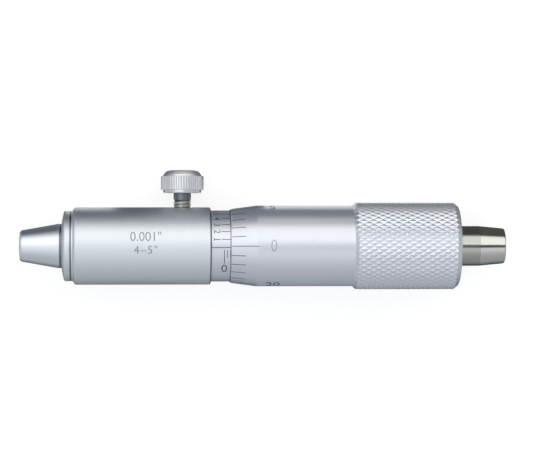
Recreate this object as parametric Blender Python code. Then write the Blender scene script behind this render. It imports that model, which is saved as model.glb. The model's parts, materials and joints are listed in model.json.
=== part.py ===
"""Tubular inside micrometer for bores of 4 to 5 in., opened 0.05 in. past its zero line.

The measuring axis is X. The origin is the centre of the fixed measuring face, and the spindle opens
towards +X. The micrometer lies on its knurled grip and on the rim of its lock knob, on a plane at
z = -knurl_radius. Every piece is modelled with the lock screw along +Y and the scales facing +Z, and the
empty rest_roll then rolls them all about X until the knob touches that plane.
"""

import math

import bmesh
import bpy
from mathutils import Matrix, Vector

inch = 0.0254

# Range of the screw, and where it stands
travel = 1.0 * inch
reading = 0.05 * inch

# Clearances: around what turns or slides, between what is screwed or pressed together, and round the
# spindle's tail where nothing guides it
running_gap = 0.00008
seat_gap = 0.0001
tail_clearance = 0.00024

# Measuring faces: lapped domes, each with a small flat crown in the middle
dome_radius = 0.020
crown_radius = 0.0005
face_rounding = 0.0005

# Fixed anvil: a cone, and a shank that is bored out to clear the spindle's tail
anvil_length = 0.00872
anvil_tip_radius = 0.00324
anvil_shoulder = 0.0009
shank_wall = 0.00106
shank_length = 0.0075

# End cap: a domed collar with a spigot that goes into the body, recessed for the anvil's ring nut
cap_step = 0.00075
cap_length = 0.00211
cap_dome_radius = 0.030
cap_seat_margin = 0.0003
cap_corner = 0.0002
spigot_length = 0.0056
spigot_wall = 0.0007
recess_depth = 0.0026
joint_line = 0.00015

# Ring nut on the anvil's shank
anvil_nut_length = 0.0022
anvil_nut_slot = 0.0010
anvil_nut_slot_depth = 0.0008

# Body tube, counterbored at its right end with a thin rim round the sleeve
body_length = 0.02922
body_rim = 0.00057
body_left_chamfer = 0.0007
body_right_chamfer_length = 0.0006
body_right_chamfer_height = 0.00047

# Lock screw: a threaded stem with a pressed-on knob, and the pad that it drives
lock_web = 0.00109
stem_radius = 0.00183
stem_groove_width = 0.0002
stem_groove_depth = 0.0003
stem_plain_length = 0.0015
stem_chamfer = 0.0003
pad_radius = 0.00155
pad_length = 0.0016
lock_free = 0.00018
knob_stand_off = 0.0031
knob_radius = 0.004475
knob_band_length = 0.0028
knob_lower_step = 0.00076
knob_lower_radius = 0.0040
knob_upper_radius = 0.0040
knob_upper_step = 0.00044
knob_crown_rise = 0.00068
knob_crown_flat = 0.0026
knob_ridges = 50
knob_ridge_depth = 0.00016
knob_bore_depth = 0.0028

# Graduated sleeve, which a hook spanner turns for zero setting
sleeve_wall = 0.00072
sleeve_seat = 0.00293
zero_line_offset = 0.00255
spanner_hole_radius = 0.0006

# Inner barrel, its bush, and the split nut end with its ring nut
barrel_wall = 0.00232
guide_ahead = 0.0125
thread_relief = 0.0003
nut_length = 0.0180
nut_end_clearance = 0.0022
split_width = 0.0006
split_length = 0.0140
split_count = 3
collet_wall = 0.00192
adjusting_nut_step = 0.0003
adjusting_nut_length = 0.0058
adjusting_nut_slot = 0.0012
adjusting_nut_slot_depth = 0.0009
end_allowance = 0.0003

# Spindle: plain tail, screw, and the taper that seats in the thimble
thread_radius = 0.0040
tail_step = 0.0015
tail_rounding = 0.0004
tail_run_out = 0.0009
thread_chamfer = 0.0005
seat_taper = 0.00045
spindle_recess = 0.0003
stud_bore_depth = 0.0068

# Thimble
edge_wall = 0.00012
edge_bevel_length = 0.0004
edge_bevel_height = 0.00013
scale_cone_length = 0.0053
thimble_wall = 0.00095
barrel_length = 0.02038
grip_chamfer_length = 0.0011
grip_rise = 0.00067
knurl_length = 0.0203
knurl_depth = 0.00025
knurl_count = 46
knurl_rows = 20
end_chamfer_length = 0.0010
end_chamfer_height = 0.00074
end_wall = 0.0031

# Spindle contact
contact_length = 0.01017
contact_radius = 0.004235
contact_tip_radius = 0.00374
contact_cylinder = 0.0044
contact_chamfer = 0.0001
stud_radius = 0.0015
stud_length = 0.0064

# Sides of the turned pieces
sides = 48
small_sides = 32
lock_sides = 24
spanner_hole_sides = 16

# Edges steeper than this many degrees stay sharp
sharp_angle = 20

# Radii, from the spindle outwards
tail_radius = thread_radius - tail_step
shank_bore_radius = tail_radius + tail_clearance
shank_radius = shank_bore_radius + shank_wall
anvil_base_radius = shank_radius + anvil_shoulder
thread_bore_radius = thread_radius + running_gap
bush_radius = thread_bore_radius - running_gap
relief_radius = thread_bore_radius + thread_relief
inner_barrel_radius = relief_radius + barrel_wall
collet_radius = thread_bore_radius + collet_wall
sleeve_bore_radius = inner_barrel_radius + running_gap
sleeve_radius = sleeve_bore_radius + sleeve_wall
adjusting_nut_radius = sleeve_radius - adjusting_nut_step
body_bore_radius = inner_barrel_radius + seat_gap
body_counterbore_radius = sleeve_radius + running_gap
body_radius = body_counterbore_radius + body_rim
spigot_radius = body_bore_radius - seat_gap
recess_radius = spigot_radius - spigot_wall
cap_radius = body_radius - cap_step
cap_seat_radius = anvil_base_radius + cap_seat_margin
thimble_bore_radius = sleeve_radius + running_gap
edge_radius = thimble_bore_radius + edge_wall
edge_bevel_radius = edge_radius + edge_bevel_height
barrel_radius = thimble_bore_radius + thimble_wall
knurl_radius = barrel_radius + grip_rise
end_face_radius = knurl_radius - end_chamfer_height

# Stations along the axis
cap_seat_x = anvil_length + seat_gap
cap_end_x = anvil_length + cap_length + seat_gap
spigot_end_x = cap_end_x + spigot_length
recess_x = spigot_end_x - recess_depth
body_x = cap_end_x + joint_line
body_end_x = body_x + body_length
sleeve_x = body_end_x - sleeve_seat
zero_x = body_end_x + zero_line_offset
thimble_x = zero_x + reading
cone_end_x = thimble_x + edge_bevel_length + scale_cone_length
grip_x = cone_end_x + barrel_length
knurl_x = grip_x + grip_chamfer_length
knurl_end_x = knurl_x + knurl_length
thimble_end_x = knurl_end_x + end_chamfer_length
end_wall_x = thimble_end_x - end_wall
contact_x = thimble_end_x + seat_gap
contact_end_x = contact_x + contact_length
travel_left = travel - reading
nut_end_x = end_wall_x - reading - nut_end_clearance
nut_x = nut_end_x - nut_length
split_x = nut_end_x - split_length
collet_x = nut_end_x - adjusting_nut_length - seat_gap - end_allowance
thread_x = nut_x - travel_left
relief_x = thread_x - tail_run_out - reading - end_allowance
stem_hole_radius = stem_radius + running_gap
lock_x = sleeve_x - seat_gap - lock_web - stem_hole_radius
barrel_x = lock_x - guide_ahead
tail_x = lock_x - travel_left - pad_radius - end_allowance

# Heights along the lock screw's axis
pad_base = tail_radius + lock_free
stem_tip = pad_base + pad_length + seat_gap
knob_height = body_radius + knob_stand_off
knob_band = knob_height + knob_lower_step
knob_rim = knob_band + knob_band_length
knob_top = knob_rim + knob_upper_step + knob_crown_rise

# How far the micrometer rolls before the rim of the knob touches the plane under the knurl
rest_angle = (math.asin(knurl_radius / math.hypot(knob_rim, knob_radius))
              - math.atan2(knob_radius, knob_rim))


def finish(name, colour, roughness):
    """A bare or plated metal."""
    material = bpy.data.materials.new(name)
    material.use_nodes = True
    shader = material.node_tree.nodes["Principled BSDF"]
    shader.inputs["Base Color"].default_value = (*colour, 1.0)
    shader.inputs["Metallic"].default_value = 1.0
    shader.inputs["Roughness"].default_value = roughness
    material.diffuse_color = (*colour, 1.0)
    return material


def arc(x, r, radius, start, end, steps):
    """Points of a rounded corner about (x, r). Angles are in degrees, from +X towards the outside."""
    turns = [math.radians(start + (end - start) * i / steps) for i in range(steps + 1)]
    return [(x + radius * math.cos(turn), r + radius * math.sin(turn)) for turn in turns]


def domed_face(tip_radius, taper):
    """Outline of a measuring face at x = 0 that looks to -X, from its centre to its rounded rim."""
    centre_x = math.sqrt(dome_radius ** 2 - crown_radius ** 2)
    rim_r = tip_radius - face_rounding * math.cos(taper)
    inner = dome_radius - face_rounding
    rim_x = centre_x - math.sqrt(inner ** 2 - rim_r ** 2)
    rim_angle = math.asin(rim_r / inner)
    crown_angle = math.asin(crown_radius / dome_radius)
    steps = 4
    dome = []
    for i in range(steps):
        angle = crown_angle + (rim_angle - crown_angle) * i / steps
        dome.append((centre_x - dome_radius * math.cos(angle), dome_radius * math.sin(angle)))
    rim = arc(rim_x, rim_r, face_rounding, 180 - math.degrees(rim_angle), 90 + math.degrees(taper), 4)
    return [(0, 0)] + dome + rim


def place(shape, name, material, parent):
    """Turn a bmesh into a named object under the parent empty."""
    bmesh.ops.recalc_face_normals(shape, faces=shape.faces)
    mesh = bpy.data.meshes.new(name)
    shape.to_mesh(mesh)
    shape.free()
    mesh.shade_smooth()
    mesh.set_sharp_from_angle(angle=math.radians(sharp_angle))
    if material:
        mesh.materials.append(material)
    piece = bpy.data.objects.new(name, mesh)
    piece.parent = parent
    bpy.context.collection.objects.link(piece)
    return piece


def turned_shape(outline, count):
    """Spin an outline of (x, radius) points about X. An outline that stays off the axis is closed first."""
    shape = bmesh.new()
    corners = [shape.verts.new((x, 0, r)) for x, r in outline]
    pairs = list(zip(corners, corners[1:]))
    if outline[0][1] > 0:
        pairs.append((corners[-1], corners[0]))
    edges = [shape.edges.new(pair) for pair in pairs]
    bmesh.ops.spin(shape, geom=corners + edges, cent=(0, 0, 0), axis=(1, 0, 0),
                   angle=2 * math.pi, steps=count, use_merge=True)
    bmesh.ops.remove_doubles(shape, verts=shape.verts, dist=1e-7)
    return shape


def turned(name, outline, count, material, parent):
    """A turned piece."""
    return place(turned_shape(outline, count), name, material, parent)


def across_lock(piece):
    """Stand a piece that was turned about X on the lock screw's axis."""
    piece.rotation_euler.z = math.pi / 2
    piece.location.x = lock_x
    return piece


def block(name, low, high, angle, parent):
    """A box between two corners, turned about X by the angle."""
    shape = bmesh.new()
    size = Vector(high) - Vector(low)
    middle = (Vector(high) + Vector(low)) / 2
    bmesh.ops.create_cube(shape, size=1, matrix=Matrix.Translation(middle) @ Matrix.Diagonal((*size, 1)))
    bmesh.ops.rotate(shape, verts=shape.verts, matrix=Matrix.Rotation(angle, 3, "X"))
    return place(shape, name, None, parent)


def cut(piece, *cutters):
    """Take the cutters out of the piece."""
    for cutter in cutters:
        cutter.hide_render = True
        cutter.display_type = "WIRE"
        hole = piece.modifiers.new(cutter.name, "BOOLEAN")
        hole.operation = "DIFFERENCE"
        hole.object = cutter


def column_of(vertex, count):
    """Number of the side that a vertex of a turned piece lies on."""
    return round(math.atan2(vertex.co.y, vertex.co.z) * count / (2 * math.pi))


def set_radius(vertex, radius):
    """Move a vertex of a turned piece straight in or out."""
    factor = radius / math.hypot(vertex.co.y, vertex.co.z)
    vertex.co.y *= factor
    vertex.co.z *= factor


def make_anvil(material, parent):
    """The fixed anvil: domed face, cone, and bored shank."""
    taper = math.atan2(anvil_base_radius - anvil_tip_radius, anvil_length - face_rounding)
    shank_end_x = anvil_length + shank_length
    outline = domed_face(anvil_tip_radius, taper)
    outline += [
        (anvil_length, anvil_base_radius),
        (anvil_length, shank_radius),
        (shank_end_x, shank_radius),
        (shank_end_x, shank_bore_radius),
        (tail_x - reading - end_allowance, shank_bore_radius),
        (tail_x - reading - 2 * end_allowance, 0),
    ]
    return turned("fixed_anvil", outline, small_sides, material, parent)


def make_end_cap(material, parent):
    """The domed collar that closes the body and carries the anvil."""
    def dome_x(r):
        return cap_seat_x + (r ** 2 - cap_seat_radius ** 2) / (2 * cap_dome_radius)

    steps = 3
    reach = cap_radius - cap_corner - cap_seat_radius
    dome = [cap_seat_radius + reach * i / steps for i in range(steps + 1)]
    outline = [(cap_seat_x, shank_radius + seat_gap)]
    outline += [(dome_x(r), r) for r in dome]
    outline += arc(dome_x(dome[-1]) + cap_corner, dome[-1], cap_corner, 150, 90, 2)
    outline += [
        (cap_end_x - cap_corner, cap_radius),
        (cap_end_x, cap_radius - cap_corner),
        (cap_end_x, spigot_radius),
        (spigot_end_x, spigot_radius),
        (spigot_end_x, recess_radius),
        (recess_x, recess_radius),
        (recess_x, shank_radius + seat_gap),
    ]
    return turned("end_cap", outline, sides, material, parent)


def make_anvil_nut(material, parent):
    """The slotted ring nut in the cap's recess."""
    inside = shank_radius + seat_gap
    outside = recess_radius - seat_gap
    start = recess_x + seat_gap
    end = start + anvil_nut_length
    nut = turned("anvil_nut", [(start, inside), (start, outside), (end, outside), (end, inside)],
                 small_sides, material, parent)
    slot = block("anvil_nut_slot", (end - anvil_nut_slot_depth, -recess_radius, -anvil_nut_slot / 2),
                 (end + anvil_nut_slot_depth, recess_radius, anvil_nut_slot / 2), 0, parent)
    cut(nut, slot)
    return nut


def make_lock_hole(parent):
    """Cutter for the radial hole: wide for the stem, narrower through the bush for the pad."""
    step = bush_radius + seat_gap / 2
    pad_hole = pad_radius + running_gap
    outline = [
        (pad_radius, 0),
        (pad_radius, pad_hole),
        (step, pad_hole),
        (step, stem_hole_radius),
        (knob_height, stem_hole_radius),
        (knob_height, 0),
    ]
    return across_lock(turned("lock_hole", outline, small_sides, None, parent))


def make_body(material, parent, lock_hole):
    """The body tube, counterbored at the right for the sleeve."""
    outline = [
        (body_x, body_bore_radius),
        (body_x, body_radius - body_left_chamfer),
        (body_x + body_left_chamfer, body_radius),
        (body_end_x - body_right_chamfer_length, body_radius),
        (body_end_x, body_radius - body_right_chamfer_height),
        (body_end_x, body_counterbore_radius),
        (sleeve_x - seat_gap, body_counterbore_radius),
        (sleeve_x - seat_gap, body_bore_radius),
    ]
    body = turned("body_tube", outline, sides, material, parent)
    cut(body, lock_hole)
    return body


def make_barrel(material, parent, lock_hole):
    """The inner barrel: bored for the bush at the left, threaded and split at the right."""
    bush_bore = bush_radius + seat_gap
    outline = [
        (barrel_x, bush_bore),
        (barrel_x, inner_barrel_radius),
        (collet_x, inner_barrel_radius),
        (collet_x, collet_radius),
        (nut_end_x, collet_radius),
        (nut_end_x, thread_bore_radius),
        (nut_x, thread_bore_radius),
        (nut_x - thread_relief, relief_radius),
        (relief_x + seat_gap, relief_radius),
        (relief_x + seat_gap, bush_bore),
    ]
    barrel = turned("inner_barrel", outline, sides, material, parent)
    splits = [
        block(f"barrel_split_{i}", (split_x, -split_width / 2, tail_radius),
              (nut_end_x + end_allowance, split_width / 2, body_radius),
              2 * math.pi * i / split_count + math.pi / 6, parent)
        for i in range(split_count)
    ]
    cut(barrel, lock_hole, *splits)
    return barrel


def make_bush(material, parent, lock_hole):
    """The bronze bush that guides the spindle's tail under the lock pad."""
    bore = tail_radius + running_gap
    outline = [(barrel_x, bore), (barrel_x, bush_radius), (relief_x, bush_radius), (relief_x, bore)]
    bush = turned("guide_bush", outline, small_sides, material, parent)
    cut(bush, lock_hole)
    return bush


def make_adjusting_nut(material, parent):
    """The slotted ring nut round the split end."""
    start = collet_x + seat_gap
    end = start + adjusting_nut_length
    inside = collet_radius + seat_gap
    nut = turned("adjusting_nut",
                 [(start, inside), (start, adjusting_nut_radius), (end, adjusting_nut_radius), (end, inside)],
                 small_sides, material, parent)
    slot = block("adjusting_nut_slot",
                 (end - adjusting_nut_slot_depth, -body_radius, -adjusting_nut_slot / 2),
                 (end + adjusting_nut_slot_depth, body_radius, adjusting_nut_slot / 2), 0, parent)
    cut(nut, slot)
    return nut


def make_sleeve(material, parent):
    """The graduated sleeve, with the spanner hole at the back, away from the scales."""
    end = collet_x - seat_gap
    outline = [(sleeve_x, sleeve_bore_radius), (sleeve_x, sleeve_radius),
               (end, sleeve_radius), (end, sleeve_bore_radius)]
    sleeve = turned("graduated_sleeve", outline, sides, material, parent)
    hole = turned("spanner_hole", [(inner_barrel_radius, 0), (inner_barrel_radius, spanner_hole_radius),
                                   (body_radius, spanner_hole_radius), (body_radius, 0)],
                  spanner_hole_sides, None, parent)
    hole.rotation_euler.y = math.pi / 2
    hole.location.x = body_end_x + zero_line_offset / 2
    cut(sleeve, hole)
    return sleeve


def make_spindle(material, parent):
    """The spindle: plain tail, screw, and taper, bored at the right for the contact's stud."""
    stud_bore = stud_radius + seat_gap
    end = thimble_end_x - spindle_recess
    outline = [(tail_x, 0)]
    outline += arc(tail_x + tail_rounding, tail_radius - tail_rounding, tail_rounding, 180, 90, 3)
    outline += [
        (thread_x - tail_run_out, tail_radius),
        (thread_x, thread_radius - thread_chamfer),
        (thread_x + thread_chamfer, thread_radius),
        (end_wall_x - end_allowance, thread_radius),
        (end_wall_x, thread_radius - seat_gap),
        (end, thread_radius - seat_gap - seat_taper),
        (end, stud_bore),
        (end - stud_bore_depth, stud_bore),
        (end - stud_bore_depth - stud_bore, 0),
    ]
    return turned("spindle", outline, small_sides, material, parent)


def make_thimble(material, parent):
    """The thimble. Its grip is knurled in pointed diamonds, each two rows long, staggered row by row."""
    count = 2 * knurl_count
    root = knurl_radius - knurl_depth
    rows = [knurl_x + knurl_length * i / knurl_rows for i in range(knurl_rows + 1)]
    outline = [
        (thimble_x, thimble_bore_radius),
        (thimble_x, edge_radius),
        (thimble_x + edge_bevel_length, edge_bevel_radius),
        (cone_end_x, barrel_radius),
        (grip_x, barrel_radius),
    ]
    outline += [(x, knurl_radius) for x in rows]
    outline += [
        (thimble_end_x, end_face_radius),
        (thimble_end_x, thread_radius - seat_taper),
        (end_wall_x, thread_radius),
        (end_wall_x, thimble_bore_radius),
    ]
    shape = turned_shape(outline, count)
    peaks = set()
    for vertex in list(shape.verts):
        if math.hypot(vertex.co.y, vertex.co.z) < knurl_radius - running_gap:
            continue
        row = round((vertex.co.x - knurl_x) * knurl_rows / knurl_length)
        if (row + column_of(vertex, count)) % 2:
            peaks.add(vertex)
        else:
            set_radius(vertex, root)
    for face in list(shape.faces):
        peak = next((vertex for vertex in face.verts if vertex in peaks), None)
        if peak:
            beside = [loop for loop in face.loops if loop.vert is peak][0]
            bmesh.utils.face_split(face, beside.link_loop_prev.vert, beside.link_loop_next.vert)
    return place(shape, "thimble", material, parent)


def make_contact(material, parent):
    """The spindle's measuring contact, which draws the thimble onto its taper with a threaded stud."""
    cylinder_end_x = contact_x + contact_cylinder
    taper = math.atan2(contact_radius - contact_tip_radius,
                       contact_length - contact_cylinder - face_rounding)
    stud_start = contact_x - stud_length
    outline = [
        (stud_start, 0),
        (stud_start, stud_radius - contact_chamfer),
        (stud_start + contact_chamfer, stud_radius),
        (contact_x, stud_radius),
        (contact_x, contact_radius - contact_chamfer),
        (contact_x + contact_chamfer, contact_radius),
        (cylinder_end_x, contact_radius),
    ]
    face = domed_face(contact_tip_radius, taper)
    outline += [(contact_end_x - x, r) for x, r in reversed(face)]
    return turned("spindle_contact", outline, small_sides, material, parent)


def make_pad(material, parent):
    """The brass pad."""
    end = pad_base + pad_length
    outline = [(pad_base, 0), (pad_base, pad_radius), (end, pad_radius), (end, 0)]
    return across_lock(turned("clamp_pad", outline, lock_sides, material, parent))


def make_stem(material, parent):
    """The threaded stem, plain under the knob."""
    top = knob_height + knob_bore_depth - seat_gap
    groove = knob_height - stem_plain_length
    outline = [
        (stem_tip, 0),
        (stem_tip, stem_radius - stem_chamfer),
        (stem_tip + stem_chamfer, stem_radius),
        (groove - stem_groove_width, stem_radius),
        (groove - stem_groove_width, stem_radius - stem_groove_depth),
        (groove, stem_radius - stem_groove_depth),
        (groove, stem_radius),
        (top, stem_radius),
        (top, 0),
    ]
    return across_lock(turned("lock_stem", outline, lock_sides, material, parent))


def make_knob(material, parent):
    """The straight-knurled knob, pressed on the stem."""
    bore = stem_radius + seat_gap
    bore_end = knob_height + knob_bore_depth
    count = 2 * knob_ridges
    steps = 3
    crown = []
    for i in range(steps + 1):
        turn = math.pi / 2 * i / steps
        radius = knob_crown_flat + (knob_upper_radius - knob_crown_flat) * math.cos(turn)
        crown.append((knob_rim + knob_upper_step + knob_crown_rise * math.sin(turn), radius))
    outline = [
        (bore_end, 0),
        (bore_end, bore),
        (knob_height, bore),
        (knob_height, knob_lower_radius),
        (knob_band, knob_radius),
        (knob_rim, knob_radius),
        (knob_rim, knob_upper_radius),
    ]
    outline += crown + [(knob_top, 0)]
    shape = turned_shape(outline, count)
    for vertex in shape.verts:
        on_band = math.hypot(vertex.co.y, vertex.co.z) > knob_radius - running_gap / 2
        if on_band and column_of(vertex, count) % 2:
            set_radius(vertex, knob_radius - knob_ridge_depth)
    return across_lock(place(shape, "lock_knob", material, parent))


for old in list(bpy.data.objects):
    bpy.data.objects.remove(old, do_unlink=True)

rest_roll = bpy.data.objects.new("rest_roll", None)
rest_roll.rotation_euler.x = -rest_angle
bpy.context.collection.objects.link(rest_roll)

satin_chrome = finish("satin_chrome", (0.60, 0.62, 0.64), 0.38)
bright_chrome = finish("bright_chrome", (0.70, 0.70, 0.71), 0.25)
ground_steel = finish("ground_steel", (0.30, 0.29, 0.27), 0.22)
turned_steel = finish("turned_steel", (0.42, 0.42, 0.43), 0.35)
dark_steel = finish("dark_steel", (0.16, 0.18, 0.22), 0.35)
bronze = finish("bronze", (0.45, 0.28, 0.12), 0.40)
brass = finish("brass", (0.62, 0.46, 0.18), 0.35)

lock_hole = make_lock_hole(rest_roll)
make_anvil(satin_chrome, rest_roll)
make_end_cap(satin_chrome, rest_roll)
make_anvil_nut(turned_steel, rest_roll)
make_body(satin_chrome, rest_roll, lock_hole)
make_barrel(turned_steel, rest_roll, lock_hole)
make_bush(bronze, rest_roll, lock_hole)
make_adjusting_nut(turned_steel, rest_roll)
make_sleeve(satin_chrome, rest_roll)
make_spindle(ground_steel, rest_roll)
make_thimble(satin_chrome, rest_roll)
make_contact(ground_steel, rest_roll)
make_pad(brass, rest_roll)
make_stem(dark_steel, rest_roll)
make_knob(bright_chrome, rest_roll)
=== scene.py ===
"""Looks of a tubular inside micrometer for bores of 4 to 5 in., lying on a pale table.

The pieces are made in the order in which the micrometer goes together, from the fixed anvil to the lock
screw. X is the measuring axis, and all lengths are in metres.
"""

import json
import math

import bmesh
import bpy
from mathutils import Matrix, Vector

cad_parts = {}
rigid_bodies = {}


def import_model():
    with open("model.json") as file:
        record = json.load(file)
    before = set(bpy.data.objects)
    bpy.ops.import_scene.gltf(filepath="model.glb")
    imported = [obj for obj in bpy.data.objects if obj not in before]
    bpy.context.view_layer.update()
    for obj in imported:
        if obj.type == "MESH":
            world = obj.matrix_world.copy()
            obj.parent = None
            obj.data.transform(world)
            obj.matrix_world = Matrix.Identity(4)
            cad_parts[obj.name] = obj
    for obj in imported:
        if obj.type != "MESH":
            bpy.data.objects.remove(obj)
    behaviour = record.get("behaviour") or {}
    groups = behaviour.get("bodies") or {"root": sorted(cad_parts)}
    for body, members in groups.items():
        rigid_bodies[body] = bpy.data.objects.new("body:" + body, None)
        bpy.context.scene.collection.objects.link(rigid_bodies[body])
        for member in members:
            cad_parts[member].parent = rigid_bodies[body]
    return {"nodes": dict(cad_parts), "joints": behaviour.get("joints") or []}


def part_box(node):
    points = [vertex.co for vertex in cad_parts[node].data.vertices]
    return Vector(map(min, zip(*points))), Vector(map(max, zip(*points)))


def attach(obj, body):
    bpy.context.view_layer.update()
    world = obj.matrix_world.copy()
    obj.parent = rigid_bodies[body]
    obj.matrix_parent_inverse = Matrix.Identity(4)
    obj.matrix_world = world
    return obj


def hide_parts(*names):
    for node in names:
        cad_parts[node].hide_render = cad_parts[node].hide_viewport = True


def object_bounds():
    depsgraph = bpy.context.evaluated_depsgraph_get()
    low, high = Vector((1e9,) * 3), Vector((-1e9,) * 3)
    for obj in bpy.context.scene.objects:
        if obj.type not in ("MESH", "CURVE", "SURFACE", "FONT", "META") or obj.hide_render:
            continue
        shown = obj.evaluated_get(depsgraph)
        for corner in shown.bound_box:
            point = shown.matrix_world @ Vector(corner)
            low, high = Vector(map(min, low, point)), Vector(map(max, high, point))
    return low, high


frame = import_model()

bpy.ops.object.select_all(action="DESELECT")
cad_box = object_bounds()


# Fixed anvil. A hardened cone with a lapped, slightly domed measuring face, turned in one piece with its
# bored shank and plated in satin chrome. The shank goes through the collar, and a ring nut holds it.
mm = 0.001
anvil_face_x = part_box("fixed_anvil")[0].x
anvil_back_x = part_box("fixed_anvil")[1].x
cone_length = 8.54 * mm
face_crown_radius = 0.5 * mm
face_dome_radius = 20.0 * mm
face_rounding = 0.5 * mm
anvil_tip_radius = 3.24 * mm
anvil_base_radius = 4.70 * mm
shank_radius = 3.80 * mm
shank_bore_radius = 2.74 * mm
shank_bore_start_x = 10.6 * mm
drill_point = 0.6 * mm
edge_break = 0.08 * mm
cone_base_rounding = 0.12 * mm
turned_sides = 160
long_stretch = 1.3 * mm
holding_gap = 0.06 * mm
same_place = 0.001 * mm
rounding_steps = 4
corner_angle = math.radians(32)
ring_length = 50 * mm


def select_where(piece, test):
    """In edit mode, select the edges and faces whose corners all pass the test, and nothing else."""
    bpy.ops.mesh.select_all(action="DESELECT")
    shape = bmesh.from_edit_mesh(piece.data)
    for vertex in shape.verts:
        vertex.select_set(test(vertex.co))
    shape.select_flush(True)
    bmesh.update_edit_mesh(piece.data)


def held(outline):
    """Add a ring close to both ends of each long stretch, so that its shading stays true up to the corner."""
    rings = []
    for (x, r, *soft), (next_x, next_r, *next_soft) in zip(outline, outline[1:]):
        rings.append((x, r, *soft))
        length = math.hypot(next_x - x, next_r - r)
        if length > long_stretch:
            for share in ((sum(soft) + holding_gap) / length, 1 - (sum(next_soft) + holding_gap) / length):
                rings.append((x + (next_x - x) * share, r + (next_r - r) * share))
    return rings + outline[-1:]


def turned(name, outline, sides=turned_sides):
    """Turn a piece on the X axis: a disc at the outline's first (x, radius) is extruded from point to point.

    An outline that comes back to its first point is a ring. A third value rounds the edge there.
    """
    outline = held(outline)
    x, radius = outline[0][:2]
    hollow = outline[0][:2] == outline[-1][:2]
    bpy.ops.mesh.primitive_circle_add(vertices=sides, radius=radius, location=(x, 0, 0),
                                      rotation=(0, math.pi / 2, 0),
                                      fill_type="NOTHING" if hollow else "NGON")
    piece = bpy.context.object
    piece.name = piece.data.name = name
    bpy.ops.object.transform_apply()
    bpy.ops.object.mode_set(mode="EDIT")
    bpy.ops.mesh.select_mode(type="VERT")
    for next_x, next_radius, *_ in outline[1:]:
        bpy.ops.mesh.extrude_region_move(TRANSFORM_OT_translate={"value": (next_x - x, 0, 0)})
        growth = next_radius / radius
        bpy.ops.transform.resize(value=(1, growth, growth), center_override=(next_x, 0, 0))
        x, radius = next_x, next_radius
    bpy.ops.mesh.select_all(action="SELECT")
    bpy.ops.mesh.remove_doubles(threshold=same_place)
    bpy.ops.mesh.normals_make_consistent(inside=False)
    for x, radius, *rounding in outline[hollow:]:
        if rounding:
            select_where(piece, lambda co: abs(co.x - x) < same_place
                         and abs(math.hypot(co.y, co.z) - radius) < same_place)
            bpy.ops.mesh.bevel(offset=rounding[0], segments=rounding_steps, affect="EDGES")
    bpy.ops.object.mode_set(mode="OBJECT")
    return piece


def finish_shading(piece):
    """Smooth shading that keeps the corners sharp and the long turned faces true."""
    bpy.context.view_layer.objects.active = piece
    bpy.ops.object.shade_smooth_by_angle(angle=corner_angle)
    bpy.ops.object.modifier_add(type="WEIGHTED_NORMAL")
    piece.modifiers[-1].keep_sharp = True
    bpy.ops.object.modifier_apply(modifier=piece.modifiers[-1].name)
    bpy.ops.object.select_all(action="DESELECT")


def lapped_face(tip_radius, steps=8):
    """Outline of a measuring face at x = 0, which looks towards -X: a flat crown and a shallow dome."""
    radii = [face_crown_radius + (tip_radius - face_crown_radius) * i / steps for i in range(steps + 1)]
    return [((r ** 2 - face_crown_radius ** 2) / (2 * face_dome_radius), r) for r in radii]


def colour(text):
    """A linear colour from an sRGB hex value."""
    parts = [int(text[i:i + 2], 16) / 255 for i in (1, 3, 5)]
    return (*[p / 12.92 if p <= 0.04045 else ((p + 0.055) / 1.055) ** 2.4 for p in parts], 1)


def node(tree, kind, inputs=(), **settings):
    """Add a node. An input is given a value, or another node's output to link to."""
    made = tree.nodes.new("ShaderNode" + kind)
    for name, value in settings.items():
        setattr(made, name, value)
    for name, value in dict(inputs).items():
        if isinstance(value, bpy.types.NodeSocket):
            tree.links.new(value, made.inputs[name])
        else:
            made.inputs[name].default_value = value
    return made


def turned_metal(name, tint, roughness, ring_spacing, ring_depth, grain, grain_depth, spread=0.05,
                 metallic=1):
    """Metal with the fine rings that a lathe or a grinding wheel leaves round X, and an even grain."""
    material = bpy.data.materials.new(name)
    material.use_nodes = True
    tree = material.node_tree
    shader = tree.nodes["Principled BSDF"]
    shader.inputs["Metallic"].default_value = metallic
    shader.inputs["Base Color"].default_value = colour(tint)
    place = node(tree, "TexCoord").outputs["Object"]
    ring_scale = (1 / ring_spacing, 1 / ring_length, 1 / ring_length)
    along = node(tree, "Mapping", {"Vector": place, "Scale": ring_scale}).outputs["Vector"]
    rings = node(tree, "TexNoise", {"Vector": along, "Scale": 1, "Detail": 3,
                                    "Roughness": 0.6}).outputs["Fac"]
    even = node(tree, "Mapping", {"Vector": place, "Scale": (1 / grain,) * 3}).outputs["Vector"]
    grains = node(tree, "TexNoise", {"Vector": even, "Scale": 1, "Detail": 2}).outputs["Fac"]
    rough = node(tree, "MapRange", {"Value": rings, "From Min": 0.3, "From Max": 0.7,
                                    "To Min": roughness - spread, "To Max": roughness + spread})
    tree.links.new(rough.outputs["Result"], shader.inputs["Roughness"])
    ringed = node(tree, "Bump", {"Height": rings, "Strength": 1, "Distance": ring_depth})
    grained = node(tree, "Bump", {"Height": grains, "Strength": 1, "Distance": grain_depth,
                                  "Normal": ringed.outputs["Normal"]})
    tree.links.new(grained.outputs["Normal"], shader.inputs["Normal"])
    return material


# Satin chrome plate on fine-turned steel: soft broad gleam, faintly ringed. The rings are really about
# 0.04 mm apart, and are drawn at 0.25 mm to show.
satin_chrome = turned_metal("satin_chrome_on_turned_steel", "#DADDDF", 0.40,
                            ring_spacing=0.25 * mm, ring_depth=0.0006 * mm,
                            grain=0.12 * mm, grain_depth=0.0008 * mm)

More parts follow.
